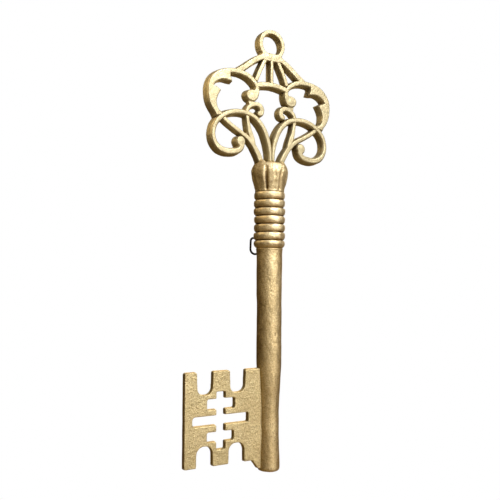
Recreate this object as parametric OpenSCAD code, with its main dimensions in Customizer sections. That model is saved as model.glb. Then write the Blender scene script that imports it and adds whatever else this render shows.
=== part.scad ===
// Large decorative wall key: pierced scroll bow, fluted socket, beaded collar,
// round shaft and a notched bit, hung from the ring at the top or from the
// small wire loop on its back. Heights in the source are measured up from the
// tip of the shaft; the finished part has its origin in the ring's bore.
// X runs along the width, -Y is the front, +Z is up.

/* [Hanging ring] */
// Outer radius of the ring
ring_r = 13; // [12.5:0.1:14]
// Radius of the hole in the ring
ring_hole_r = 9.6; // [8.5:0.1:10]
// Thickness of the ring, front to back
ring_t = 8; // [6:0.5:9]

/* [Bow] */
// Thickness of the lobes and of the big loops
bow_t = 8.4; // [8:0.2:10]
// Thickness of the rays and of the bridge
ray_t = 8; // [6:0.5:9]
// Thickness of the stems and small curls, which lie behind the loops' face
stem_t = 6.8; // [5:0.2:7.4]
// Width of the rays
ray_w = 3.4; // [2.6:0.1:4]

/* [Socket and collar] */
// Number of flutes round the socket
flutes = 14; // [8:1:16]
// Width of a flute's groove
flute_w = 1.2; // [0.6:0.1:2]
// Depth of a flute's groove
flute_d = 1.0; // [0.4:0.1:1.6]
// Number of beads on the collar
beads = 7; // [5:1:9]
// Radius of the collar at the crown of a bead
bead_r = 13.6; // [12.6:0.1:14]
// Depth of the grooves between the beads
bead_depth = 1.1; // [0.4:0.1:1.4]

/* [Shaft] */
// Radius of the shaft under the collar
shaft_r = 11.1; // [10.8:0.1:11.6]
// Radius of the shaft at the waist beside the bit
waist_r = 8.6; // [8.2:0.1:9]
// Radius of the spigot that carries the collar and the socket
spigot_r = 7; // [5:0.5:8]

/* [Bit] */
// Thickness of the bit plate
bit_t = 4.4; // [3:0.2:7]
// Reach of the bit from the shaft's axis
bit_reach = 79.3; // [76:0.1:84]
// Radius of the bit's fixing pins
pin_r = 1.5; // [1:0.1:1.8]

/* [Wire loop] */
// Diameter of the wire
wire_d = 1.8; // [1.2:0.1:1.8]
// Width of the wire loop between the centres of its sides
loop_w = 20; // [18:0.5:28]
// Height of the wire loop between the centres of its runs
loop_h = 14.5; // [12:0.5:18]
// Radial clearance of the wire in its lug
wire_play = 0.06; // [0.03:0.01:0.09]

/* [Hidden] */
$fn = 64;

// stations, heights above the tip
z_ring = 366;
z_bit0 = 10.4;  z_bit1 = 86;
z_collar0 = 188; z_collar1 = 237;
z_socket1 = 262; z_spigot = 252; z_pocket = 256.5;
z_eye = 197.8;  y_eye = bead_r + 1 + wire_d/2;
dowel_z = 246;
pin_z = [24, 48, 72];
pitch = (z_collar1 - z_collar0)/beads;

gold = [0.84, 0.70, 0.42];
dark = [0.20, 0.17, 0.13];

// ---- curves -------------------------------------------------------------
// smooth curve through hand-set points (Catmull-Rom), k steps a span
function cr(a, b, c, d, t) = 0.5*(2*b + (c - a)*t + (2*a - 5*b + 4*c - d)*t*t + (3*b - a - 3*c + d)*t*t*t);
function smooth(P, k = 4) = let (m = len(P) - 1) concat(
  [for (i = [0:m-1]) for (j = [0:k-1]) cr(P[max(i-1, 0)], P[i], P[i+1], P[min(i+2, m)], j/k)], [P[m]]);
// a bar that follows points [x, z, width]
function bar(P, k = 4) = let (S = smooth(P, k), m = len(S) - 1,
  N = [for (i = [0:m]) let (a = S[max(i-1, 0)], b = S[min(i+1, m)], d = [b[0]-a[0], b[1]-a[1]]) [-d[1], d[0]]/norm(d)])
  concat([for (i = [0:m]) [S[i][0], S[i][1]] + N[i]*S[i][2]/2],
         [for (i = [m:-1:0]) [S[i][0], S[i][1]] - N[i]*S[i][2]/2]);
// a polygon whose corners [x, z, radius] are rounded
function corner(p, q, s, r, n) = r <= 0.01 ? [q] : let (
  a = (p - q)/norm(p - q), b = (s - q)/norm(s - q), h = acos(a*b)/2,
  c = q + (a + b)/norm(a + b)*r/sin(h), u = q + a*r/tan(h) - c, v = q + b*r/tan(h) - c,
  a0 = atan2(u[1], u[0]), da = ((atan2(v[1], v[0]) - a0 + 540) % 360) - 180)
  [for (i = [0:n]) c + r*[cos(a0 + da*i/n), sin(a0 + da*i/n)]];
function xy(p) = [p[0], p[1]];
function rounded(P, n = 5) = let (m = len(P)) [for (i = [0:m-1])
  for (q = corner(xy(P[(i+m-1) % m]), xy(P[i]), xy(P[(i+1) % m]), P[i][2], n)) q];

// outlines of the left half, front view
loop_c = [[-1.3, 254, 2.7], [-1.35, 262, 2.8], [-1.5, 270, 3.0], [-2.6, 277, 3.7], [-4.6, 284, 4.0], [-7.6, 290.3, 4.1],
  [-12.2, 296.3, 3.9], [-18, 300.6, 3.7], [-26, 302.7, 3.7], [-34, 302.8, 3.7], [-42, 300.8, 3.8],
  [-49.4, 296.4, 3.8], [-54.6, 290.2, 3.5], [-56.6, 283, 3.5], [-55.6, 276, 3.7], [-51.4, 270.6, 4.2],
  [-45, 268.2, 4.5], [-38.4, 268.4, 4.6], [-34.2, 269.3, 4.4], [-31, 271.3, 4.3], [-29.6, 274.2, 4.5], [-29.8, 277, 4.6]];
knob = [-30.6, 277.7, 4.1];
stem_c = [[-7.6, 254, 4.4], [-9.4, 260, 4.6], [-11.8, 266, 4.8], [-14.8, 271.4, 4.6], [-18.4, 276.6, 4.2], [-23, 281.2, 3.8],
  [-28.6, 284.8, 3.5], [-35, 288.2, 3.4], [-41, 291.8, 3.3], [-46.6, 296, 3.4], [-51, 300.4, 3.4]];
curl_c = [[-16.6, 275.4, 2.0], [-18.2, 279.2, 3.6], [-20.4, 284.2, 4.6], [-22.2, 289.5, 4.0], [-23.3, 295, 3.4], [-23.9, 299.5, 3.2],
  [-24.4, 303.0, 3.3], [-23.7, 306.3, 3.4], [-21.4, 309.1, 3.4], [-18, 311.0, 3.5], [-14.4, 311.6, 3.7], [-11.2, 310.2, 4.2], [-9.7, 307.4, 4.6],
  [-10.1, 304.7, 4.4], [-11.4, 303.4, 3.8]];
curl_knob = [-11.9, 303.7, 2.2];
lobe_out = concat(
  smooth([[-54.2, 296.8], [-55.4, 299.3], [-58.6, 303.6], [-60.8, 308.5], [-61.8, 314], [-62, 319.5], [-60.8, 325.2], [-57.6, 330.6],
    [-52.5, 334.8], [-46, 337.5], [-38, 338.9], [-31, 338.9], [-24.5, 337.3], [-18.8, 334.2], [-14.9, 330.2], [-13.1, 325.6],
    [-13, 321.5], [-14.2, 317.4], [-16.8, 314.6], [-20.2, 313.8], [-23.6, 315.0], [-25.4, 317.8], [-25.0, 320.6], [-22.8, 322.6],
    [-19.8, 323.3], [-17.6, 323.5], [-16.6, 325.2]]),
  smooth([[-17.2, 327.4], [-19.4, 329.7], [-23.6, 332.6], [-29, 334.6], [-35, 335.2], [-41, 334.7]]),
  smooth([[-40.9, 331.5], [-39.4, 327.7]]),
  smooth([[-43, 328], [-47, 328.3], [-51, 327.2], [-54.4, 324.8], [-56.7, 321.9]]),
  smooth([[-53.4, 320.7], [-50, 318.9]]),
  smooth([[-51.4, 316.4], [-52.8, 313.6], [-53.7, 310], [-53.4, 305.6], [-52, 302.3], [-49.4, 300], [-47, 298.2]]));
bulb_foot = [[-23.2, 316], [-22.6, 311], [-17.6, 311], [-17, 316]];
ray_out_c = [[-8, 354.6, 4.4], [-14, 351.6, 4.5], [-20, 347.6, 4.6], [-26, 342.9, 4.6], [-31, 339.4, 4.8], [-35, 337.6, 4]];
ray_in_c = [[-5.8, 353.5, ray_w], [-8.2, 348.8, ray_w], [-10.6, 344, ray_w], [-12.8, 339.4, ray_w], [-15.4, 333, ray_w]];
bridge_c = [[-15.2, 328, 4.4], [-12, 328.9, 4.3], [-6, 330, 4.2], [0, 330.4, 4.2], [6, 330, 4.2], [12, 328.9, 4.3], [15.2, 328, 4.4]];
crown = [[-11.4, 356.2, 1.5], [-8.6, 351.2, 0.8], [8.6, 351.2, 0.8], [11.4, 356.2, 1.5], [8.6, 360, 0], [-8.6, 360, 0]];

module flip(s) { if (s < 0) children(); else mirror([1, 0, 0]) children(); }
module at_tip() { translate([0, 0, -z_ring]) children(); }
// a flat outline in X and Z, made y0..y1 deep
module slab(y0, y1) { translate([0, y1, 0]) rotate([90, 0, 0]) linear_extrude(height = y1 - y0) children(); }
module half(s) { difference() { children(); translate([s < 0 ? 0 : -60, 240]) square([60, 60]); } }

module loop_2d(s) { half(s) flip(s) polygon(bar(loop_c)); }
// round knob [x, z, radius] at the end of a bar, t thick
module knob_at(s, k, t) { slab(-t/2, t/2) flip(s) translate([k[0], k[1]]) circle(r = k[2]); }
module stem_2d(s) { flip(s) polygon(bar(stem_c)); }
module curl_2d(s) { flip(s) polygon(bar(curl_c)); }
module lobe_2d(s) { flip(s) polygon(lobe_out); }
module lobe_clear(s) { difference() { lobe_2d(s); loop_2d(s); } }
module crown_2d() { polygon(rounded(crown)); }
module bridge_2d() { polygon(bar(bridge_c)); }

// ---- hanging ring ---------------------------------------------------------
module hanging_ring() { color(gold) at_tip() difference() {
  union() {
    translate([0, 0, z_ring]) rotate([90, 0, 0]) cylinder(h = ring_t, r = ring_r, center = true);
    slab(-ray_t/2, ray_t/2) crown_2d();
  }
  translate([0, 0, z_ring]) rotate([90, 0, 0]) cylinder(h = bow_t + 4, r = ring_hole_r, center = true);
} }

// ---- five rays that fan out under the ring ---------------------------------
module ray(s, c) { color(gold) at_tip() slab(-ray_t/2 + 0.2, ray_t/2 - 0.2) difference() {
  flip(s) polygon(bar(c));
  crown_2d(); bridge_2d(); lobe_2d(-1); lobe_2d(1);
  translate([0, z_ring]) circle(r = ring_r);
} }
module ray_outer_left() ray(-1, ray_out_c);
module ray_outer_right() ray(1, ray_out_c);
module ray_inner_left() ray(-1, ray_in_c);
module ray_inner_right() ray(1, ray_in_c);
module ray_centre() ray(-1, [[0, 353, ray_w - 0.2], [0, 341, ray_w - 0.4], [0, 330, ray_w - 0.2]]);

// ---- bridge between the lobes ----------------------------------------------
module bridge_arc() { color(gold) at_tip() slab(-ray_t/2, ray_t/2) difference() { bridge_2d(); lobe_2d(-1); lobe_2d(1); } }

// ---- leaf-cut lobes with a bulb end ------------------------------------------
module lobe(s) { color(gold) at_tip() union() {
  slab(-bow_t/2, bow_t/2) lobe_clear(s);
  slab(-stem_t/2, stem_t/2) difference() { flip(s) polygon(bulb_foot); curl_2d(s); }
} }
module lobe_left() lobe(-1);
module lobe_right() lobe(1);

// ---- big loops: the front layer, half lapped over stem and curl ----------------
module loop_scroll(s) { color(gold) at_tip() difference() {
  union() {
    slab(-bow_t/2, bow_t/2) loop_2d(s);
    knob_at(s, knob, bow_t);
  }
  slab(0, bow_t) stem_2d(s);
  slab(0, bow_t) curl_2d(s);
} }
module loop_scroll_left() loop_scroll(-1);
module loop_scroll_right() loop_scroll(1);

// ---- stems that run behind the loops to the lobes' tails ------------------------
module stem(s) { color(gold) at_tip() difference() {
  slab(-stem_t/2, stem_t/2) difference() { stem_2d(s); lobe_clear(s); }
  slab(-bow_t, 0) loop_2d(s);
} }
module stem_left() stem(-1);
module stem_right() stem(1);

// ---- small curls on the stems ----------------------------------------------------
module curl(s) { color(gold) at_tip() difference() {
  union() {
    slab(-stem_t/2, stem_t/2) difference() { curl_2d(s); stem_2d(s); lobe_2d(s); }
    knob_at(s, curl_knob, stem_t);
  }
  slab(-bow_t, 0) loop_2d(s);
} }
module curl_left() curl(-1);
module curl_right() curl(1);

// ---- fluted socket that takes the feet of the scrolls ------------------------------
socket_p = [[12.7, 236.9], [13, 239], [14.1, 243], [15.2, 247], [15.9, 250.5], [16.2, 253.5], [15.9, 256.2], [15.1, 258.6], [13.9, 260.6], [12.8, 262.1]];
module socket_feet() { for (s = [-1, 1]) {
  slab(-bow_t/2, bow_t/2) intersection() { loop_2d(s); translate([-30, z_pocket]) square([60, 20]); }
  slab(-stem_t/2, stem_t/2) intersection() { stem_2d(s); translate([-30, z_pocket]) square([60, 20]); }
} }
module fluted_socket() { color(gold) at_tip() difference() {
  intersection() {
    rotate_extrude() polygon(concat([[0, 236.9]], socket_p, [[0, 262.1]]));
    translate([0, 0, z_collar1]) cylinder(h = z_socket1 - z_collar1, r = 20);
  }
  translate([0, 0, 236]) cylinder(h = z_spigot - 236, r = spigot_r);
  for (i = [0:flutes-1]) rotate([0, 0, i*360/flutes - 3.3]) rotate([90, 0, 0]) linear_extrude(height = flute_w, center = true)
    polygon(concat([for (p = socket_p) [p[0] - flute_d, p[1]]], [[20, 263], [20, 236]]));
  socket_feet();
  dowel_hole();
} }
module feet_trim() { intersection() { children(); at_tip() translate([-100, -20, z_pocket]) cube([200, 40, 200]); } }

// ---- blind dowel through socket and spigot, from the back ----------------------------
module dowel_hole() { translate([0, 14.2, dowel_z]) rotate([90, 0, 0]) cylinder(h = 20, r = pin_r); }
module socket_dowel() { color(gold) at_tip() dowel_hole(); }

// ---- collar: a sleeve of rounded beads -------------------------------------------------
module collar_body() { rotate_extrude() polygon(concat([[0, z_collar0]],
  [for (i = [0:beads-1]) for (j = [0:7]) [bead_r - bead_depth + bead_depth*pow(sin(180*j/8), 0.8) - (i == 0 && j == 0 ? 1 : 0), z_collar0 + pitch*(i + j/8)]],
  [[bead_r - bead_depth, z_collar1], [0, z_collar1]])); }
module bead_collar() { color(gold) at_tip() difference() {
  collar_body();
  translate([0, 0, z_collar0 - 1]) cylinder(h = z_collar1 - z_collar0 + 2, r = spigot_r);
  lug_peg();
} }

// ---- shaft with its spigot, the slot for the bit and the pin holes --------------------------
module shaft() { color(gold) at_tip() difference() {
  union() {
    rotate_extrude() polygon([[0, 0], [7.6, 0], [8.7, 0.5], [9.2, 1.4], [9.4, 3], [9.3, 10], [8.9, 20], [waist_r, 30], [waist_r, 42], [waist_r + 0.3, 52], [9.1, 62], [9.6, 71],
      [10.2, 80], [10.6, 88], [10.8, 100], [10.7, 112], [10.65, 126], [10.8, 144], [shaft_r - 0.05, 168], [shaft_r, 182], [shaft_r + 0.5, 187], [shaft_r + 0.3, z_collar0], [0, z_collar0]]);
    translate([0, 0, z_collar0 - 1]) cylinder(h = z_spigot - z_collar0 + 1, r = spigot_r);
  }
  slab(-bit_t/2, bit_t/2) bit_2d();
  pin_holes();
  dowel_hole();
  lug_peg();
} }

// ---- bit: a notched plate with a pierced cross, tongued into the shaft -------------------------
bit_corners = [[-2.5, z_bit1, 0.5], [-23.9, z_bit1, 1], [-24.3, 67.6, 6.2], [-38.4, 67.6, 6], [-38.8, z_bit1, 1],
  [-54, z_bit1, 1], [-54.5, 67.4, 6.2], [-68.2, 67.4, 6.2], [-68.9, z_bit1, 1],
  [-bit_reach, z_bit1, 1.2], [-bit_reach, z_bit0, 1.2],
  [-69, z_bit0, 0.8], [-68.8, 26.9, 6.6], [-54.2, 26.9, 6.6], [-54, z_bit0, 0.8],
  [-39.8, z_bit0, 0.8], [-39.5, 26.8, 6.6], [-24.8, 26.8, 6.6], [-24.6, z_bit0, 0.6],
  [-17, z_bit0, 2], [-13.8, 6.4, 1.5], [-11.6, 3.2, 1], [-8, 2.8, 0.3], [-2.5, 2.8, 0.5]];
// slots of the cross: x, z, width, height, corner radius
cross_slots = [[-51.2, 22.8, 8.6, 47.1, 1.2], [-59.6, 55.2, 25.8, 9, 1.8], [-72.6, 42.6, 51.6, 8.3, 2.8], [-59.6, 29.2, 25, 8.4, 1.6]];
module bit_2d() { polygon(rounded(bit_corners)); }
module bit_plate() { color(gold) at_tip() difference() {
  slab(-bit_t/2, bit_t/2) difference() {
    bit_2d();
    for (c = cross_slots) polygon(rounded([[c[0], c[1], c[4]], [c[0]+c[2], c[1], c[4]], [c[0]+c[2], c[1]+c[3], c[4]], [c[0], c[1]+c[3], c[4]]], 4));
  }
  pin_holes();
} }

// ---- three pins through shaft and tongue, flush at the back ----------------------------------------
module pin_holes() { for (z = pin_z) translate([-5.6, 7.2, z]) rotate([90, 0, 0]) cylinder(h = 12.4, r = pin_r); }
module bit_pins() { color(gold) at_tip() pin_holes(); }

// ---- wire lug: an eye on a peg, set into the back of the collar --------------------------------------
module lug_peg() { translate([0, y_eye, z_eye]) rotate([90, 0, 0]) cylinder(h = y_eye - 4, r = 1.6); }
module wire_lug() { color(gold) at_tip() difference() {
  union() {
    difference() {
      translate([0, y_eye, z_eye]) rotate([0, 90, 0]) cylinder(h = 8, r = wire_d/2 + 1.5, center = true);
      collar_body();
    }
    lug_peg();
  }
  translate([0, y_eye, z_eye]) rotate([0, 90, 0]) cylinder(h = 20, r = wire_d/2 + wire_play, center = true);
} }

// ---- wire loop that swings in the lug -------------------------------------------------------------------
module wire_corner(x, z, a) { translate([x, 0, z]) rotate([90, 0, 0]) rotate([0, 0, a]) rotate_extrude(angle = 90) translate([3, 0]) circle(d = wire_d, $fn = 32); }
module wire_loop() { color(dark) at_tip() translate([0, y_eye, z_eye]) union() {
  for (z = [0, -loop_h]) translate([0, 0, z]) rotate([0, 90, 0]) cylinder(h = loop_w - 6, d = wire_d, center = true);
  for (x = [-loop_w/2, loop_w/2]) translate([x, 0, -loop_h + 3]) cylinder(h = loop_h - 6, d = wire_d);
  wire_corner(loop_w/2 - 3, -3, 0);
  wire_corner(-loop_w/2 + 3, -3, 90);
  wire_corner(-loop_w/2 + 3, -loop_h + 3, 180);
  wire_corner(loop_w/2 - 3, -loop_h + 3, 270);
} }

hanging_ring();
ray_outer_left();
ray_inner_left();
ray_centre();
ray_inner_right();
ray_outer_right();
bridge_arc();
lobe_left();
lobe_right();
feet_trim() loop_scroll_left();
feet_trim() loop_scroll_right();
feet_trim() stem_left();
feet_trim() stem_right();
curl_left();
curl_right();
fluted_socket();
socket_dowel();
bead_collar();
shaft();
bit_plate();
bit_pins();
wire_lug();
wire_loop();
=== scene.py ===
import math
import bpy
import bmesh
import numpy as np
from mathutils import Matrix, Vector


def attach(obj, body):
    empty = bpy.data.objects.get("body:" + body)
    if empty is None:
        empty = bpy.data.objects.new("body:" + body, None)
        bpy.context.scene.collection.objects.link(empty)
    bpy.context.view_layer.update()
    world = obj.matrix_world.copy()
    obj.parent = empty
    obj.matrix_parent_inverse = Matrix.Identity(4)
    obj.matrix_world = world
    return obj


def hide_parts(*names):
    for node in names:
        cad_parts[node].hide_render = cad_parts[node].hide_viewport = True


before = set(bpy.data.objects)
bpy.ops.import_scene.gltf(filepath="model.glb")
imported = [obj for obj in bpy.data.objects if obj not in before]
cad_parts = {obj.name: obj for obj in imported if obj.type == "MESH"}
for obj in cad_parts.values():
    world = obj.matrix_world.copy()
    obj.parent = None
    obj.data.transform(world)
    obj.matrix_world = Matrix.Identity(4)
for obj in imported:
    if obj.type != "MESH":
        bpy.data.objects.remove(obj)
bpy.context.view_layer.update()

Z_RING = 366.0          # height of the ring's bore above the tip, mm
MM = 0.001


# ---------------------------------------------------------------- camera
def make_camera():
    yaw, pitch, roll = math.radians(30.0), math.radians(2.840), math.radians(0.301)
    F = Vector((math.sin(yaw) * math.cos(pitch), math.cos(yaw) * math.cos(pitch), math.sin(pitch)))
    R = Vector((math.cos(yaw), -math.sin(yaw), 0.0))
    U = R.cross(F)
    R2 = R * math.cos(roll) + U * math.sin(roll)
    U2 = -R * math.sin(roll) + U * math.cos(roll)
    cam = bpy.data.cameras.new("camera")
    cam.sensor_width, cam.sensor_height, cam.sensor_fit = 36.0, 36.0, "HORIZONTAL"
    cam.lens = 36.0 * 656.49 / 500.0
    cam.clip_start, cam.clip_end = 0.01, 50.0
    ob = bpy.data.objects.new("camera", cam)
    bpy.context.scene.collection.objects.link(ob)
    rot = Matrix((R2, U2, -F)).transposed()
    ob.matrix_world = Matrix.Translation(Vector((-297.79, -482.44, 158.65 - Z_RING)) * MM) @ rot.to_4x4()
    bpy.context.scene.camera = ob
    return ob


camera = make_camera()


# ---------------------------------------------------------------- curves, in mm, x and height above the tip
def smooth(P, k=6):
    P = [np.array(p, float) for p in P]
    m, out = len(P) - 1, []
    for i in range(m):
        a, b, c, d = P[max(i - 1, 0)], P[i], P[i + 1], P[min(i + 2, m)]
        for j in range(k):
            t = j / k
            out.append(0.5 * (2 * b + (c - a) * t + (2 * a - 5 * b + 4 * c - d) * t * t + (3 * b - a - 3 * c + d) * t ** 3))
    out.append(P[m])
    return out


def bar(P, grow=0.0, k=6):
    """Outline of a bar that follows points (x, z, width)."""
    S = smooth(P, k)
    m, left, right = len(S) - 1, [], []
    for i, s in enumerate(S):
        d = (S[min(i + 1, m)] - S[max(i - 1, 0)])[:2]
        n = np.array([-d[1], d[0]]) / np.linalg.norm(d)
        left.append(s[:2] + n * (s[2] / 2 + grow))
        right.append(s[:2] - n * (s[2] / 2 + grow))
    return left + right[::-1]


def rounded(P, n=6):
    out, m = [], len(P)
    for i in range(m):
        p, q, s = (np.array(P[j % m][:2], float) for j in (i - 1, i, i + 1))
        r = P[i][2]
        if r <= 0.01:
            out.append(q)
            continue
        a, b = (p - q) / np.linalg.norm(p - q), (s - q) / np.linalg.norm(s - q)
        h = math.acos(max(-1, min(1, float(a @ b)))) / 2
        c = q + (a + b) / np.linalg.norm(a + b) * r / math.sin(h)
        u, v = q + a * r / math.tan(h) - c, q + b * r / math.tan(h) - c
        a0 = math.atan2(u[1], u[0])
        da = (math.atan2(v[1], v[0]) - a0 + 3 * math.pi) % (2 * math.pi) - math.pi
        out += [c + r * np.array([math.cos(a0 + da * j / n), math.sin(a0 + da * j / n)]) for j in range(n + 1)]
    return out


def disc(x, z, r, n=64):
    return [np.array([x + r * math.cos(2 * math.pi * i / n), z + r * math.sin(2 * math.pi * i / n)]) for i in range(n)]


loop_c = [[-1.3, 256.5, 2.7], [-1.35, 262, 2.8], [-1.5, 270, 3.0], [-2.6, 277, 3.7], [-4.6, 284, 4.0], [-7.6, 290.3, 4.1],
  [-12.2, 296.3, 3.9], [-18, 300.6, 3.7], [-26, 302.7, 3.7], [-34, 302.8, 3.7], [-42, 300.8, 3.8],
  [-49.4, 296.4, 3.8], [-54.6, 290.2, 3.5], [-56.6, 283, 3.5], [-55.6, 276, 3.7], [-51.4, 270.6, 4.2],
  [-45, 268.2, 4.5], [-38.4, 268.4, 4.6], [-34.2, 269.3, 4.4], [-31, 271.3, 4.3], [-29.6, 274.2, 4.5], [-29.8, 277, 4.6]]
knob = (-30.6, 277.7, 4.1)
stem_c = [[-7.8, 256.5, 4.4], [-9.4, 260, 4.6], [-11.8, 266, 4.8], [-14.8, 271.4, 4.6], [-18.4, 276.6, 4.2], [-23, 281.2, 3.8],
  [-28.6, 284.8, 3.5], [-35, 288.2, 3.4], [-41, 291.8, 3.3], [-46.6, 296, 3.4], [-51, 300.4, 3.4]]
curl_c = [[-16.6, 275.4, 2.0], [-18.2, 279.2, 3.6], [-20.4, 284.2, 4.6], [-22.2, 289.5, 4.0], [-23.3, 295, 3.4], [-23.9, 299.5, 3.2],
  [-24.4, 303.0, 3.3], [-23.7, 306.3, 3.4], [-21.4, 309.1, 3.4], [-18, 311.0, 3.5], [-14.4, 311.6, 3.7], [-11.2, 310.2, 4.2], [-9.7, 307.4, 4.6],
  [-10.1, 304.7, 4.4], [-11.4, 303.4, 3.8]]
curl_knob = (-11.9, 303.7, 2.2)
curl_web = [[-20.5, 280], [-23.6, 283], [-26.4, 284.9], [-24.0, 286.4], [-22.4, 290.5], [-20.6, 288]]
lobe_segments = [
  [[-54.2, 296.8], [-55.4, 299.3], [-58.6, 303.6], [-60.8, 308.5], [-61.8, 314], [-62, 319.5], [-60.8, 325.2], [-57.6, 330.6],
    [-52.5, 334.8], [-46, 337.5], [-38, 338.9], [-31, 338.9], [-24.5, 337.3], [-18.8, 334.2], [-14.9, 330.2], [-13.1, 325.6],
    [-13, 321.5], [-14.2, 317.4], [-16.8, 314.6], [-20.2, 313.8], [-23.6, 315.0], [-25.4, 317.8], [-25.0, 320.6], [-22.8, 322.6],
    [-19.8, 323.3], [-17.6, 323.5], [-16.6, 325.2]],
  [[-17.2, 327.4], [-19.4, 329.7], [-23.6, 332.6], [-29, 334.6], [-35, 335.2], [-41, 334.7]],
  [[-40.9, 331.5], [-39.4, 327.7]],
  [[-43, 328], [-47, 328.3], [-51, 327.2], [-54.4, 324.8], [-56.7, 321.9]],
  [[-53.4, 320.7], [-50, 318.9]],
  [[-51.4, 316.4], [-52.8, 313.6], [-53.7, 310], [-53.4, 305.6], [-52, 302.3], [-49.4, 300], [-47, 298.2]]]
bulb_foot = [[-23.2, 316], [-22.6, 310], [-17.6, 310], [-17, 316]]
ray_out_c = [[-6, 355.4, 4.2], [-8, 354.6, 4.4], [-14, 351.6, 4.5], [-20, 347.6, 4.6], [-26, 342.9, 4.6], [-31, 339.4, 4.8], [-35, 337.6, 3.4]]
ray_in_c = [[-4.8, 355.5, 3.4], [-5.8, 353.5, 3.4], [-8.2, 348.8, 3.4], [-10.6, 344, 3.4], [-12.8, 339.4, 3.4], [-15.8, 332, 3.4]]
bridge_c = [[-16.5, 327.4, 3.6], [-12, 328.9, 4.3], [-6, 330, 4.2], [0, 330.4, 4.2], [6, 330, 4.2], [12, 328.9, 4.3], [16.5, 327.4, 3.6]]
crown = [[-11.4, 356.2, 1.5], [-8.6, 351.2, 0.8], [8.6, 351.2, 0.8], [11.4, 356.2, 1.5], [8.6, 360, 0], [-8.6, 360, 0]]
Z0, Z1, REACH = 10.4, 86.0, 79.3
bit_corners = [[-8, Z1, 0.5], [-23.9, Z1, 1.0], [-24.3, 67.6, 6.2], [-38.4, 67.6, 6.0], [-38.8, Z1, 1.0],
  [-54, Z1, 1.0], [-54.5, 67.4, 6.2], [-68.2, 67.4, 6.2], [-68.9, Z1, 1.0],
  [-REACH, Z1, 1.2], [-REACH, Z0, 1.2],
  [-69, Z0, 0.8], [-68.8, 26.9, 6.6], [-54.2, 26.9, 6.6], [-54, Z0, 0.8],
  [-39.8, Z0, 0.8], [-39.5, 26.8, 6.6], [-24.8, 26.8, 6.6], [-24.6, Z0, 0.6],
  [-17, Z0, 2.0], [-13.8, 6.4, 1.5], [-11.6, 3.2, 1.0], [-8, 2.8, 0.3]]
cross = [[-51.2, 69.9, 1.2], [-51.2, 64.2, 0.5], [-59.6, 64.2, 1.8], [-59.6, 55.2, 1.8], [-51.2, 55.2, 0.5], [-51.2, 50.9, 0.5],
  [-72.6, 50.9, 2.8], [-72.6, 42.6, 2.8], [-51.2, 42.6, 0.5], [-51.2, 37.6, 0.5], [-59.6, 37.6, 1.6], [-59.6, 29.2, 1.6], [-51.2, 29.2, 0.5],
  [-51.2, 22.8, 1.2], [-42.6, 22.8, 1.2], [-42.6, 29.2, 0.5], [-34.6, 29.2, 1.6], [-34.6, 37.6, 1.6], [-42.6, 37.6, 0.5], [-42.6, 42.6, 0.5],
  [-21, 42.6, 1.2], [-21, 50.9, 1.2], [-42.6, 50.9, 0.5], [-42.6, 55.2, 0.5], [-33.8, 55.2, 1.6], [-33.8, 64.2, 1.6], [-42.6, 64.2, 0.5], [-42.6, 69.9, 1.2]]


# ---------------------------------------------------------------- mesh helpers
def mesh_object(name, bm):
    me = bpy.data.meshes.new(name)
    bm.normal_update()
    bm.to_mesh(me)
    bm.free()
    ob = bpy.data.objects.new(name, me)
    bpy.context.scene.collection.objects.link(ob)
    return ob


def prism(bm, sections, holes=None):
    """A closed solid through outlines in x and z at rising depths, with a hole through it if one is given; all in mm."""
    def walls(parts, inward):
        rings = [[bm.verts.new((p[0], y, p[1])) for p in outline] for y, outline in parts]
        n = len(rings[0])
        for lo, hi in zip(rings, rings[1:]):
            for i in range(n):
                f = (lo[i], lo[(i + 1) % n], hi[(i + 1) % n], hi[i])
                bm.faces.new(f[::-1] if inward else f)
        return rings[0], rings[-1]

    lo, hi = walls(sections, False)
    if holes is None:
        bm.faces.new(lo[::-1])
        bm.faces.new(hi)
        return
    hlo, hhi = walls(holes, True)
    for a, b in ((lo, hlo), (hi, hhi)):
        edges = []
        for r in (a, b):
            for i in range(len(r)):
                v, w = r[i], r[(i + 1) % len(r)]
                edges.append(bm.edges.get((v, w)) or bm.edges.new((v, w)))
        bmesh.ops.triangle_fill(bm, use_beauty=True, use_dissolve=False, edges=edges)


def grown(P, d):
    """A closed outline moved outwards by d along its own normals."""
    P = [np.array(p[:2], float) for p in P]
    m = len(P)
    area2 = sum(P[i - 1][0] * P[i][1] - P[i][0] * P[i - 1][1] for i in range(m))
    s = 1.0 if area2 > 0 else -1.0
    out = []
    for i in range(m):
        a, b = P[i] - P[i - 1], P[(i + 1) % m] - P[i]
        na = s * np.array([a[1], -a[0]]) / max(1e-9, np.linalg.norm(a))
        nb = s * np.array([b[1], -b[0]]) / max(1e-9, np.linalg.norm(b))
        n = na + nb
        k = float(n @ n) / 2
        out.append(P[i] + d * n / max(k, 0.7))
    return out


def waves(co, seed, amp, size):
    """Smooth seeded unevenness in mm at points co (mm)."""
    rng = np.random.default_rng(seed)
    out = np.zeros(len(co))
    for k in range(10):
        d = rng.normal(size=3)
        d /= np.linalg.norm(d)
        out += np.sin(co @ d * (2 * math.pi / (size * rng.uniform(0.6, 1.6))) + rng.uniform(0, 6.28))
    return out * amp / 3.2


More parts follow.
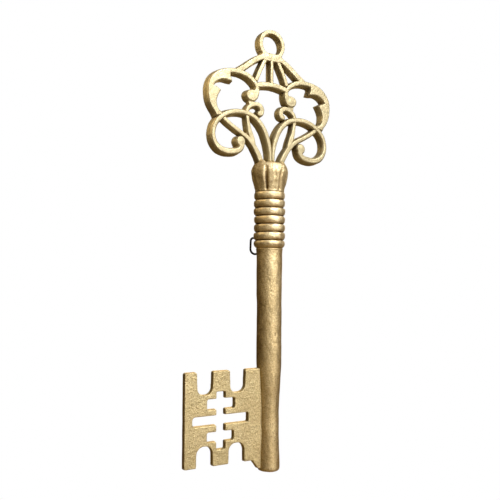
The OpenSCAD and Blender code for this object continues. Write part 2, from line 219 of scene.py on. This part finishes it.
def finish_mesh(ob, seed, amp=0.05, size=9.0):
    """Applies the modifiers, adds a casting's slight unevenness and goes from mm above the tip to metres in the frame."""
    dg = bpy.context.evaluated_depsgraph_get()
    me = bpy.data.meshes.new_from_object(ob.evaluated_get(dg))
    old = ob.data
    ob.modifiers.clear()
    ob.data = me
    bpy.data.meshes.remove(old)
    n = len(me.vertices)
    co, no = np.zeros(n * 3), np.zeros(n * 3)
    me.vertices.foreach_get("co", co)
    me.vertices.foreach_get("normal", no)
    co, no = co.reshape(-1, 3), no.reshape(-1, 3)
    co = co + no * (waves(co, seed, amp, size) + waves(co, seed + 50, amp * 0.5, size * 0.35))[:, None]
    co[:, 2] -= Z_RING
    me.vertices.foreach_set("co", (co * MM).ravel())
    me.update()
    me.shade_smooth()
    return ob


def cast(name, bm, seed, voxel=0.36, rounds=10, amp=0.05, size=9.0):
    """Turns sharp closed shapes into one softly rounded casting."""
    bmesh.ops.recalc_face_normals(bm, faces=bm.faces)
    ob = mesh_object(name, bm)
    r = ob.modifiers.new("skin", "REMESH")
    r.mode, r.voxel_size, r.adaptivity = "VOXEL", voxel, 0.0
    s = ob.modifiers.new("soften", "SMOOTH")
    s.factor, s.iterations = 0.5, rounds
    return finish_mesh(ob, seed, amp, size)


def mirror_pts(pts, s):
    return [np.array([-s * p[0], p[1]]) if s > 0 else np.array([p[0], p[1]]) for p in pts]


def side(pts, s):
    return [np.array([p[0] if s < 0 else -p[0], p[1]]) for p in pts]


def lathe(name, profile, seed, radial=None, n=256, amp=0.05, size=9.0, lumps=None):
    """A turned body; profile is (radius, height) in mm and radial(angle, height) adds to the radius."""
    bm = bmesh.new()
    rings = []
    for r, z in profile:
        ring = []
        for i in range(n):
            a = 2 * math.pi * i / n
            rr = r + (radial(a, z, r) if radial and r > 1 else 0)
            ring.append(bm.verts.new((rr * math.cos(a), rr * math.sin(a), z)))
        rings.append(ring)
    for a, b in zip(rings, rings[1:]):
        for i in range(n):
            bm.faces.new((a[i], a[(i + 1) % n], b[(i + 1) % n], b[i]))
    for ring, flip in ((rings[0], True), (rings[-1], False)):
        z = ring[0].co.z
        c = bm.verts.new((0, 0, z))
        for i in range(n):
            f = (ring[i], ring[(i + 1) % n], c)
            bm.faces.new(f[::-1] if flip else f)
    if lumps:
        for x, z, rx, ry, rz in lumps:
            bmesh.ops.create_uvsphere(bm, u_segments=32, v_segments=20, radius=1.0, matrix=Matrix.Translation((x, 0, z)) @ Matrix.Diagonal((rx, ry, rz, 1)))
        return cast(name, bm, seed, 0.30, 3, amp, size)
    bmesh.ops.recalc_face_normals(bm, faces=bm.faces)
    return finish_mesh(mesh_object(name, bm), seed, amp, size)


# ---------------------------------------------------------------- materials
def link(nt, a, b):
    nt.links.new(a, b)


# The darkest colour serves both the sand pits and the painted shade in the hollows; the occlusion reach and strength
# set how far and how dark that painted shade goes.
def gold(name, tone=(0.74, 0.60, 0.34), pit_and_shade=(0.20, 0.13, 0.035), light=(1.0, 0.90, 0.66), grain=1.0, rough=0.44, metal=0.80, seed=0.0, fine=1.0, shade_reach=0.0045, hollow_shade=1.0, stain=0.0):
    m = bpy.data.materials.new(name)
    m.use_nodes = True
    nt = m.node_tree
    nt.nodes.clear()
    N = nt.nodes.new
    out = N("ShaderNodeOutputMaterial")
    b = N("ShaderNodeBsdfPrincipled")
    b.inputs["Metallic"].default_value = metal
    b.inputs["Specular IOR Level"].default_value = 0.5
    b.inputs["Specular Tint"].default_value = (0.80, 0.56, 0.28, 1)
    link(nt, b.outputs[0], out.inputs[0])
    tc = N("ShaderNodeTexCoord")
    mp = N("ShaderNodeMapping")
    mp.inputs["Location"].default_value = (seed, seed * 0.7, -seed)
    link(nt, tc.outputs["Object"], mp.inputs[0])

    def noise(scale, detail=4.0, roughness=0.55):
        n = N("ShaderNodeTexNoise")
        n.inputs["Scale"].default_value = scale
        n.inputs["Detail"].default_value = detail
        n.inputs["Roughness"].default_value = roughness
        link(nt, mp.outputs[0], n.inputs["Vector"])
        return n

    def ramp(src, stops):
        r = N("ShaderNodeValToRGB")
        while len(r.color_ramp.elements) < len(stops):
            r.color_ramp.elements.new(0.5)
        for e, (p, c) in zip(r.color_ramp.elements, stops):
            e.position, e.color = p, (*c, 1)
        link(nt, src, r.inputs[0])
        return r

    def mix(kind, fac, a, c):
        x = N("ShaderNodeMix")
        x.data_type, x.blend_type = "RGBA", kind
        for sock, val in ((x.inputs[0], fac), (x.inputs[6], a), (x.inputs[7], c)):
            if hasattr(val, "is_output"):
                link(nt, val, sock)
            else:
                sock.default_value = val if not isinstance(val, tuple) else (*val, 1)
        return x.outputs[2]

    g = lambda v: (v, v, v)
    # broad drift of the paint, from thin brownish to bright flake
    drift = ramp(noise(38, 5).outputs[0], [(0.30, tuple(0.86 * t for t in tone)), (0.52, tone), (0.74, tuple(min(1, 0.65 * t + 0.35 * l) for t, l in zip(tone, light)))])
    # sand grain: dark pits and bright flakes
    pits = ramp(noise(900, 3, 0.7).outputs[0], [(0.36, g(0.0)), (0.52, g(1.0))])
    col = mix("MIX", pits.outputs[0], tuple((1 - 0.45 * fine) * a + 0.45 * fine * c for a, c in zip(tone, pit_and_shade)), drift.outputs[0])
    flake = ramp(noise(1150, 2, 0.8).outputs[0], [(0.56, g(0.0)), (0.72, g(0.5 * fine))])
    col = mix("MIX", flake.outputs[0], col, light)
    # brown patches of old varnish
    patch = ramp(noise(75, 3, 0.6).outputs[0], [(0.40, g(stain)), (0.56, g(0.0))])
    col = mix("MIX", patch.outputs[0], col, (0.34, 0.185, 0.045))
    # painted shade: ambient occlusion darkens the hollows to brown; worn bright on the edges
    ao = N("ShaderNodeAmbientOcclusion")
    ao.samples = 8
    ao.inputs["Distance"].default_value = shade_reach
    hollow_shade_ramp = ramp(ao.outputs["AO"], [(0.25 * max(1.0, hollow_shade), g(min(1.0, hollow_shade))), (0.88, g(0.0))])
    col = mix("MIX", hollow_shade_ramp.outputs[0], col, pit_and_shade)
    geo = N("ShaderNodeNewGeometry")
    edge = ramp(geo.outputs["Pointiness"], [(0.52, g(0.0)), (0.64, g(0.25))])
    col = mix("MIX", edge.outputs[0], col, light)
    link(nt, col, b.inputs["Base Color"])
    rr = ramp(noise(260, 4).outputs[0], [(0.3, g(rough - 0.06)), (0.7, g(rough + 0.12))])
    link(nt, rr.outputs[0], b.inputs["Roughness"])
    # cast grain: orange peel, grit and fine grain
    h1, h2, h3 = noise(420, 4, 0.6), noise(1100, 3, 0.65), noise(2400, 2, 0.6)
    add = N("ShaderNodeMath"); add.operation = "MULTIPLY_ADD"
    link(nt, h2.outputs[0], add.inputs[0]); add.inputs[1].default_value = 0.55; link(nt, h1.outputs[0], add.inputs[2])
    add2 = N("ShaderNodeMath"); add2.operation = "MULTIPLY_ADD"
    link(nt, h3.outputs[0], add2.inputs[0]); add2.inputs[1].default_value = 0.25; link(nt, add.outputs[0], add2.inputs[2])
    bump = N("ShaderNodeBump")
    bump.inputs["Strength"].default_value = 0.8
    bump.inputs["Distance"].default_value = 0.00032 * grain
    link(nt, add2.outputs[0], bump.inputs["Height"])
    link(nt, bump.outputs[0], b.inputs["Normal"])
    return m


def wire_material():
    m = bpy.data.materials.new("dark_wire")
    m.use_nodes = True
    nt = m.node_tree
    b = nt.nodes["Principled BSDF"]
    b.inputs["Metallic"].default_value = 0.7
    n = nt.nodes.new("ShaderNodeTexNoise")
    n.inputs["Scale"].default_value = 500
    n.inputs["Detail"].default_value = 4
    tc = nt.nodes.new("ShaderNodeTexCoord")
    nt.links.new(tc.outputs["Object"], n.inputs["Vector"])
    r = nt.nodes.new("ShaderNodeValToRGB")
    r.color_ramp.elements[0].position, r.color_ramp.elements[0].color = 0.35, (0.008, 0.005, 0.003, 1)
    r.color_ramp.elements[1].position, r.color_ramp.elements[1].color = 0.7, (0.045, 0.028, 0.015, 1)
    nt.links.new(n.outputs[0], r.inputs[0])
    nt.links.new(r.outputs[0], b.inputs["Base Color"])
    r2 = nt.nodes.new("ShaderNodeValToRGB")
    r2.color_ramp.elements[0].color, r2.color_ramp.elements[1].color = (0.4, 0.4, 0.4, 1), (0.65, 0.65, 0.65, 1)
    nt.links.new(n.outputs[0], r2.inputs[0])
    nt.links.new(r2.outputs[0], b.inputs["Roughness"])
    bp = nt.nodes.new("ShaderNodeBump")
    bp.inputs["Strength"].default_value = 0.4
    bp.inputs["Distance"].default_value = 0.0002
    nt.links.new(n.outputs[0], bp.inputs["Height"])
    nt.links.new(bp.outputs[0], b.inputs["Normal"])
    return m


# One gold paint in several copies: the collar and socket tones are lifted as painted light, and the scroll tone is
# lowered as painted shade; the shaft and bit tones are the paint's own.
M_SCROLL_SHADED = gold("gold_scroll", tone=(0.48, 0.425, 0.28), seed=0.0, rough=0.50, metal=0.82, hollow_shade=0.85, grain=0.8, fine=0.35)
M_ROUND = gold("gold_round", tone=(0.79, 0.64, 0.37), pit_and_shade=(0.15, 0.08, 0.018), seed=0.31, grain=1.9, rough=0.42, metal=0.95, shade_reach=0.007, fine=1.0, stain=0.12)
M_SOCKET_LIT = gold("gold_socket_painted_light", tone=(0.82, 0.69, 0.43), light=(1.0, 0.93, 0.74), pit_and_shade=(0.14, 0.07, 0.015), seed=0.52, grain=1.5, rough=0.46, metal=0.90, shade_reach=0.0046, fine=1.0, stain=0.22, hollow_shade=1.9)
M_COLLAR_LIT = gold("gold_collar_painted_light", tone=(0.90, 0.77, 0.50), light=(1.0, 0.93, 0.74), pit_and_shade=(0.10, 0.045, 0.008), seed=0.11, grain=1.0, rough=0.44, metal=0.90, shade_reach=0.0036, fine=0.7, stain=0.28, hollow_shade=2.0)
M_FACE = gold("gold_face", tone=(0.76, 0.655, 0.395), pit_and_shade=(0.15, 0.08, 0.018), stain=0.10, seed=0.77, grain=2.3, rough=0.44, metal=0.92, fine=1.1)
M_WIRE = wire_material()


def place(ob, body, mat, slot, *nodes):
    ob.data.materials.clear()
    ob.data.materials.append(mat)
    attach(ob, body)
    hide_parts(*nodes)
    return ob


# ---------------------------------------------------------------- the pieces
# cross-section of a cast bar: bevelled front edges, sides that widen towards a flat back; (distance behind the front, growth)
EDGE = [(0.0, -0.55), (0.7, -0.12), (1.6, 0.45)]
BACK = 1.35
SOFT = 6


def section(depth, shape, amount=1.0, lift=0.12):
    """Outlines of one cast bar from front to back; shape(growth) gives the outline."""
    near = [(-depth + d, g * amount + lift) for d, g in EDGE]
    return [(y, shape(g)) for y, g in near + [(depth, BACK * amount + lift)]]


def ring_piece():
    bm = bmesh.new()
    prism(bm, section(4.0, lambda g: disc(0, Z_RING, 13.0 + g), 0.35), section(4.0, lambda g: disc(0, Z_RING, 9.6 - g), 0.35))
    neck = rounded([[-11.2, 356.3, 1.5], [-8.6, 351.2, 0.8], [8.6, 351.2, 0.8], [11.2, 356.3, 1.5], [6.5, 358.2, 1.5], [-6.5, 358.2, 1.5]])
    prism(bm, section(3.9, lambda g: grown(neck, g), 0.5))
    return cast("hanging_ring_cast", bm, 1, rounds=SOFT)


def dome(bm, s, x, z, r, depth, proud):
    """A low rounded boss on the end of a scroll."""
    rings = [(-depth - proud * (1 - (k / 6.0) ** 2), side(disc(x, z, max(0.15, r * k / 6.0)), s)) for k in range(7)]
    prism(bm, rings + [(0.0, side(disc(x, z, r), s))])


def bar_piece(name, seed, pts, s, depth, amount=1.0, knob=None, proud=0.0, web=None):
    bm = bmesh.new()
    prism(bm, section(depth, lambda g: side(bar(pts, g), s), amount))
    if web:
        prism(bm, [(-depth + 1.6, side(web, s)), (depth, side(web, s))])
    if knob:
        x, z, r = knob
        prism(bm, section(depth, lambda g: side(disc(x, z, r + g), s), amount))
        if proud:
            dome(bm, s, x, z, r - 0.3, depth - 0.3, proud)
    return cast(name, bm, seed, rounds=SOFT)


place(ring_piece(), "key", M_SCROLL_SHADED, "gold_scroll", "hanging_ring")

for tag, s in (("left", -1), ("right", 1)):
    place(bar_piece("ray_outer_%s_cast" % tag, 10 + s, ray_out_c, s, 3.85, 0.6), "key", M_SCROLL_SHADED, "gold_scroll", "ray_outer_" + tag)
    place(bar_piece("ray_inner_%s_cast" % tag, 14 + s, ray_in_c, s, 3.75, 0.5), "key", M_SCROLL_SHADED, "gold_scroll", "ray_inner_" + tag)
    lobe = [q for seg in lobe_segments for q in [p[:2] for p in smooth(seg)]]
    bm = bmesh.new()
    prism(bm, section(4.2, lambda g: side(grown(lobe, g), s), 0.8))
    prism(bm, [(-3.0, side(bulb_foot, s)), (3.0, side(bulb_foot, s))])
    dome(bm, s, -19.6, 318.2, 3.7, 4.0, 0.45)
    place(cast("lobe_%s_cast" % tag, bm, 18 + s, rounds=SOFT), "key", M_SCROLL_SHADED, "gold_scroll", "lobe_" + tag)
    place(bar_piece("loop_scroll_%s_cast" % tag, 22 + s, loop_c, s, 4.2, 1.0, knob, 0.45), "key", M_SCROLL_SHADED, "gold_scroll", "loop_scroll_" + tag)
    place(bar_piece("stem_%s_cast" % tag, 26 + s, stem_c, s, 3.4, 0.8), "key", M_SCROLL_SHADED, "gold_scroll", "stem_" + tag)
    place(bar_piece("curl_%s_cast" % tag, 30 + s, curl_c, s, 3.4, 0.8, curl_knob, 0.0, curl_web), "key", M_SCROLL_SHADED, "gold_scroll", "curl_" + tag)

place(bar_piece("ray_centre_cast", 34, [[0, 355, 3.0], [0, 341, 3.0], [0, 330, 3.2]], -1, 3.8, 0.5), "key", M_SCROLL_SHADED, "gold_scroll", "ray_centre")
place(bar_piece("bridge_arc_cast", 35, bridge_c, -1, 4.0, 0.9), "key", M_SCROLL_SHADED, "gold_scroll", "bridge_arc")

# fluted socket
FL = 14
socket_p = smooth([[12.4, 236.6], [12.7, 237.2], [13.0, 239], [14.1, 243], [15.2, 247], [15.9, 250.5], [16.2, 253.5], [15.9, 256.2], [15.1, 258.6], [13.7, 260.6], [11.4, 261.7],
  [8.5, 262.1], [5.0, 262.1]], 8)


FLUTE_DEPTH = [1.0, 0.9, 1.1, 0.8, 1.0, 1.1, 0.9, 0.40, 0.20, 2.3, 0.60, 0.90, 0.60, 0.9]
FLUTE_TURN = [0, 1, -1, 2, 0, -2, 1, 0, 0, 0, 4, -1, 1, 0]
FLUTE_WIDE = [0.15, 0.15, 0.15, 0.15, 0.15, 0.15, 0.15, 0.17, 0.13, 0.105, 0.11, 0.10, 0.12, 0.15]


def flute(a, z, r):
    step = 2 * math.pi / FL
    best = 0.0
    for i in range(FL):
        sway = 1.6 * math.sin((z - 240) * 0.32 + i * 1.9) if i not in (9,) else 0.0
        d = (a - (i * step + math.radians(-3.3 + FLUTE_TURN[i] + sway)) + math.pi) % (2 * math.pi) - math.pi
        half_w = FLUTE_WIDE[i]
        if abs(d) < 2.2 * half_w:
            best = max(best, FLUTE_DEPTH[i] * math.exp(-(d / half_w) ** 2 * 1.6))
    top = 257.5 - 2.0 * math.sin(3 * a)
    t = max(0.0, min(1.0, (z - 237.4) / 2.0)) * max(0.0, min(1.0, (top - z) / 7.0))
    ridge = 0.16 * math.sin(a * 7 + 0.7) * math.sin((z - 237) / 25 * math.pi)
    return -best * t * (2 - t) + ridge * t - 0.05


place(lathe("fluted_socket_cast", [(p[0], p[1]) for p in socket_p], 40, flute, n=FL * 28, amp=0.08, size=7,
  lumps=[(k * x, z, rx, ry, rz) for k in (-1, 1) for x, z, rx, ry, rz in ((9.9, 259.4, 3.5, 9.0, 5.4), (1.5, 259.8, 3.0, 8.6, 4.6))]), "key", M_SOCKET_LIT, "gold_round", "fluted_socket")

# beaded collar
BEADS, C0, C1 = 7, 188.0, 237.0
pitch = (C1 - C0) / BEADS
prof = [(11.3, C0)]
for i in range(BEADS):
    for j in range(21):
        t = j / 20
        if j == 0 and i > 0:
            continue
        lump = max(0.0, 1 - abs(2 * t ** 1.25 - 1) ** 2.7) ** (1 / 2.0)
        r = 13.6 - 2.2 * (1 - lump)
        if i == 0:
            r -= 0.9 * max(0.0, 1 - t / 0.55)
        prof.append((r, C0 + pitch * (i + t)))
prof.append((11.2, C1))


def bead_wobble(a, z, r):
    i = int(max(0, min(BEADS - 1, (z - C0) // pitch)))
    return 0.12 * math.sin(a * 2 + i * 2.1) + 0.08 * math.sin(a * 5 + i * 1.3) - 0.06


place(lathe("bead_collar_cast", prof, 41, bead_wobble, n=192, amp=0.12, size=8), "key", M_COLLAR_LIT, "gold_round", "bead_collar")

# shaft
shaft_pts = [[6.0, 0.0], [7.8, 0.1], [8.7, 0.6], [9.2, 1.6], [9.4, 3.4], [9.3, 10], [8.9, 20], [8.6, 30], [8.6, 42], [8.8, 52], [9.1, 62], [9.6, 71],
             [10.2, 80], [10.6, 88], [10.8, 100], [10.7, 112], [10.65, 126], [10.8, 144], [11.05, 168], [11.1, 182], [11.4, 186], [11.5, 188.0], [9.0, 188.5], [6.0, 188.5]]
place(lathe("shaft_cast", [(p[0], p[1]) for p in smooth(shaft_pts, 14)], 42, None, n=160, amp=0.11, size=16), "key", M_ROUND, "gold_round", "shaft")

# bit plate
bm = bmesh.new()
plate, hole = rounded(bit_corners, 8), rounded(cross, 5)
prism(bm, [(-2.2, grown(plate, 0.10)), (2.2, grown(plate, 0.45))], [(-2.2, grown(hole, -0.08)), (2.2, grown(hole, -0.6))])
place(cast("bit_plate_cast", bm, 43, voxel=0.36, rounds=9, amp=0.03, size=9), "key", M_FACE, "gold_face", "bit_plate")


# wire loop: round bar bent round four corners
def tube(name, pts, r, closed, seed, n=20):
    bm = bmesh.new()
    P = [np.array(p, float) for p in pts]
    m = len(P)
    rings = []
    for i, p in enumerate(P):
        t = P[(i + 1) % m] - P[i - 1]
        t /= np.linalg.norm(t)
        u = np.array([0.0, 1.0, 0.0])
        v = np.cross(t, u)
        rings.append([bm.verts.new(p + r * (math.cos(2 * math.pi * k / n) * u + math.sin(2 * math.pi * k / n) * v)) for k in range(n)])
    for i in range(m):
        a, b = rings[i], rings[(i + 1) % m]
        for k in range(n):
            bm.faces.new((a[k], a[(k + 1) % n], b[(k + 1) % n], b[k]))
    bmesh.ops.recalc_face_normals(bm, faces=bm.faces)
    return finish_mesh(mesh_object(name, bm), seed, 0.012, 5)


EYE_Y, EYE_Z, LW, LH = 15.5, 197.8, 20.0, 14.5
path = rounded([[-LW / 2 + 0.5, EYE_Z, 2.6], [LW / 2 - 0.5, EYE_Z, 2.8], [LW / 2, EYE_Z - LH - 0.3, 4.4], [0, EYE_Z - LH + 1.1, 9], [-LW / 2 - 0.1, EYE_Z - LH - 0.4, 4.6]], 10)
dense = []
for i, p in enumerate(path):
    q = path[(i + 1) % len(path)]
    k = max(1, int(np.linalg.norm(q - p) / 0.8))
    dense += [p + (q - p) * j / k for j in range(k)]
place(tube("wire_loop_bent", [(p[0], EYE_Y, p[1]) for p in dense], 0.90, True, 44), "wire_loop", M_WIRE, "wire", "wire_loop")

# the small fixings keep their CAD shape
for name in ("wire_lug", "socket_dowel", "bit_pins"):
    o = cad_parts[name]
    o.data.materials.clear()
    o.data.materials.append(M_ROUND)


# ---------------------------------------------------------------- room and light
def seen_white(name, strength, other, tint=(1.0, 1.0, 1.0)):
    m = bpy.data.materials.new(name)
    m.use_nodes = True
    nt = m.node_tree
    nt.nodes.clear()
    o = nt.nodes.new("ShaderNodeOutputMaterial")
    mx = nt.nodes.new("ShaderNodeMixShader")
    lp = nt.nodes.new("ShaderNodeLightPath")
    em = nt.nodes.new("ShaderNodeEmission")
    em.inputs[0].default_value, em.inputs[1].default_value = (1, 1, 1, 1), strength
    df = nt.nodes.new("ShaderNodeBsdfDiffuse")
    df.inputs[0].default_value = (other * tint[0], other * tint[1], other * tint[2], 1)
    nt.links.new(lp.outputs["Is Camera Ray"], mx.inputs[0])
    nt.links.new(df.outputs[0], mx.inputs[1])
    nt.links.new(em.outputs[0], mx.inputs[2])
    nt.links.new(mx.outputs[0], o.inputs[0])
    return m


bm = bmesh.new()
bmesh.ops.create_grid(bm, x_segments=2, y_segments=2, size=6.0)
floor = mesh_object("floor", bm)
floor.location = (0, 0, -0.62)
floor.data.materials.append(seen_white("pale_floor", 1.0, 0.25, (1.0, 0.68, 0.26)))

world = bpy.data.worlds.new("studio")
bpy.context.scene.world = world
world.use_nodes = True
nt = world.node_tree
nt.nodes.clear()
wo = nt.nodes.new("ShaderNodeOutputWorld")
mx = nt.nodes.new("ShaderNodeMixShader")
lp = nt.nodes.new("ShaderNodeLightPath")
b1, b2 = nt.nodes.new("ShaderNodeBackground"), nt.nodes.new("ShaderNodeBackground")
tc = nt.nodes.new("ShaderNodeTexCoord")
sp = nt.nodes.new("ShaderNodeSeparateXYZ")
rp = nt.nodes.new("ShaderNodeValToRGB")
rp.color_ramp.elements[0].position, rp.color_ramp.elements[0].color = 0.30, (0.026, 0.015, 0.003, 1)
rp.color_ramp.elements[1].position, rp.color_ramp.elements[1].color = 0.85, (0.20, 0.155, 0.085, 1)
ma = nt.nodes.new("ShaderNodeMath")
ma.operation = "MULTIPLY_ADD"
ma.inputs[1].default_value, ma.inputs[2].default_value = 0.5, 0.5
nt.links.new(tc.outputs["Generated"], sp.inputs[0])
nt.links.new(sp.outputs[0], ma.inputs[0])
nt.links.new(ma.outputs[0], rp.inputs[0])
nt.links.new(rp.outputs[0], b1.inputs[0])
b1.inputs[1].default_value = 1.0
b2.inputs[0].default_value, b2.inputs[1].default_value = (1, 1, 1, 1), 1.0
nt.links.new(lp.outputs["Is Camera Ray"], mx.inputs[0])
nt.links.new(b1.outputs[0], mx.inputs[1])
nt.links.new(b2.outputs[0], mx.inputs[2])
nt.links.new(mx.outputs[0], wo.inputs[0])


def area(name, loc, target, size, power, color=(1, 1, 1), tall=None):
    L = bpy.data.lights.new(name, "AREA")
    L.shape, L.size, L.size_y, L.energy, L.color = "RECTANGLE", size, tall or size, power, color
    ob = bpy.data.objects.new(name, L)
    bpy.context.scene.collection.objects.link(ob)
    ob.location = loc
    d = Vector(target) - Vector(loc)
    ob.rotation_euler = d.to_track_quat("-Z", "Y").to_euler()
    ob.visible_camera = False
    return ob


mid = (0.0, 0.0, -0.18)
area("key_light", (0.22, -0.90, 0.55), mid, 0.55, 16.5, (1.0, 0.98, 0.93), 0.50)
area("back_light", (0.55, 0.85, 0.12), mid, 0.7, 3.5, (1.0, 0.88, 0.66))
area("top_light", (0.15, -0.30, 1.0), mid, 0.4, 2.6, (1.0, 1.0, 0.98))
area("left_fill", (-0.22, 0.04, 0.06), (0.0, 0.0, -0.06), 0.20, 0.36, (1.0, 0.76, 0.42))
area("side_fill", (-0.60, -0.70, -0.16), mid, 0.30, 0.75, (1.0, 0.86, 0.62))
area("low_fill", (0.35, -1.18, -0.30), mid, 0.6, 4.0, (1.0, 0.95, 0.86))

sc = bpy.context.scene
sc.view_settings.view_transform = "Standard"
sc.view_settings.look = "None"
sc.view_settings.exposure = 0.0
sc.view_settings.gamma = 1.0

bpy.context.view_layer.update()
